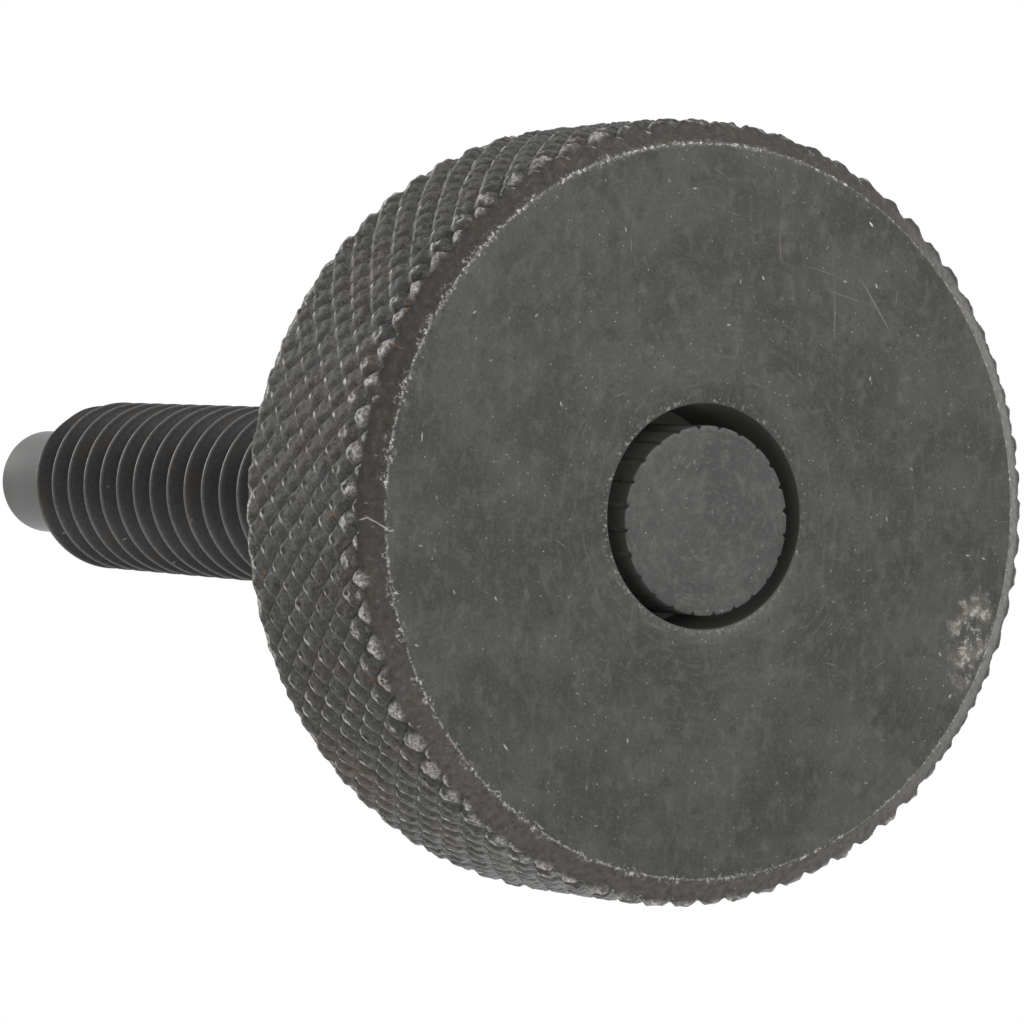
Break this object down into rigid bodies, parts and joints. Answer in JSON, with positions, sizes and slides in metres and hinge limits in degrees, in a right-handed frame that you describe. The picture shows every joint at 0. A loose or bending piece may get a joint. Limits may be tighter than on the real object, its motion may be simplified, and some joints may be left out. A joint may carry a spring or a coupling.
{
  "type": "knurled thumb screw",
  "caption": "Thumb screw with a diamond-knurled round head pressed on a threaded stud that ends in a plain dog point, in black-oxide steel.",
  "frame": {"origin": "centre of the head's outer face, which the screw stands on", "axes": "+Z along the screw's axis, from the outer face of the head to the dog point"},
  "size_m": [0.019, 0.019, 0.0373],
  "materials": {
    "head_steel": "black oxide over turned and knurled steel, dull, worn bright along the edge of the face",
    "stud_steel": "black oxide over rolled thread, dull, satin on the dog point"
  },
  "bodies": {
    "root": {"knurled_head": "head_steel", "threaded_stud": "stud_steel"}
  },
  "joints": []
}
